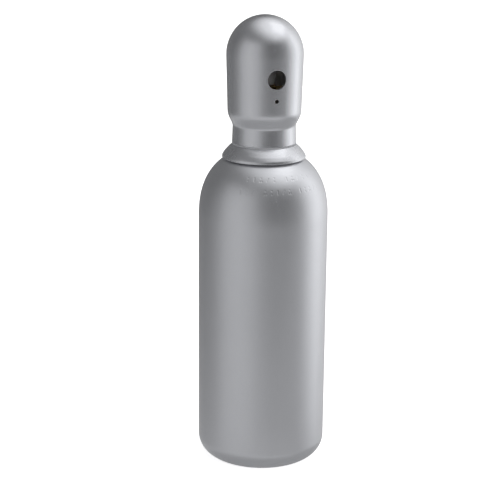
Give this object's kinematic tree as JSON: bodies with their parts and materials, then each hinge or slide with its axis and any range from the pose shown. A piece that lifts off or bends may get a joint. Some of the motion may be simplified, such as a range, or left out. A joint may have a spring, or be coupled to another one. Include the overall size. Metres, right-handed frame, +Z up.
{
  "type": "gas cylinder with valve cap",
  "caption": "Steel high-pressure gas cylinder with a domed shoulder, flared neck ring, screw-on vented valve cap and a working brass valve inside it.",
  "frame": {"origin": "centre of the underside of the standing ring, on the cylinder's axis", "axes": "+Z up the cylinder's axis, +X along the valve outlet, -Y and +Y through the cap's vent holes"},
  "size_m": [0.1778, 0.1778, 0.6241],
  "materials": {
    "silver_paint": "satin silver-grey paint on steel",
    "brass": "machined and forged",
    "bright_steel": "plated",
    "dark_fibre": "matt",
    "nylon": "matt",
    "wheel_enamel": "black enamel on cast metal",
    "dust_plug": "moulded"
  },
  "bodies": {
    "cylinder": {"cylinder_shell": "silver_paint", "neck_ring": "silver_paint", "valve_body": "brass", "packing_nut": "bright_steel", "packing_gland": "brass", "packing_ring_lower": "dark_fibre", "packing_ring_upper": "dark_fibre", "spindle_washer": "nylon", "safety_plug": "brass", "rupture_disc": "bright_steel", "safety_gasket": "dark_fibre"},
    "cap_seal": {"cap_seal_ring": "dark_fibre"},
    "cap": {"valve_cap": "silver_paint"},
    "wheel_group": {"spindle": "bright_steel", "handwheel": "wheel_enamel", "spring_seat": "bright_steel", "handwheel_spring": "bright_steel", "spring_retainer": "bright_steel", "handwheel_nut": "bright_steel"},
    "seat_group": {"seat_holder": "brass", "seat_disc": "nylon"},
    "plug": {"lower_plug": "brass"},
    "dust_plug": {"outlet_plug": "dust_plug"}
  },
  "joints": [
    {"name": "cap_lift", "type": "slide", "parent": "cylinder", "child": "cap_seal", "axis": [0, 0, 1], "range_m": [0, 0.18]},
    {"name": "cap_turn", "type": "hinge", "parent": "cap_seal", "child": "cap", "pos_m": [0, 0, 0.4511], "axis": [0, 0, 1], "range_deg": [0, 3330]},
    {"name": "wheel_turn", "type": "hinge", "parent": "cylinder", "child": "wheel_group", "pos_m": [0, 0, 0.5312], "axis": [0, 0, 1], "range_deg": [0, 900]},
    {"name": "seat_rise", "type": "slide", "parent": "cylinder", "child": "seat_group", "axis": [0, 0, 1], "range_m": [0, 0.00376]},
    {"name": "plug_turn", "type": "hinge", "parent": "seat_group", "child": "plug", "pos_m": [0, 0, 0.5133], "axis": [0, 0, 1], "range_deg": [0, 901]},
    {"name": "dust_plug_pull", "type": "slide", "parent": "cylinder", "child": "dust_plug", "axis": [1, 0, 0], "range_m": [0, 0.0085]}
  ],
  "couplings": [
    {"joint": "seat_rise", "follows": "wheel_turn", "m_per_rad": 0.00023873},
    {"joint": "plug_turn", "follows": "wheel_turn", "ratio": 1}
  ]
}
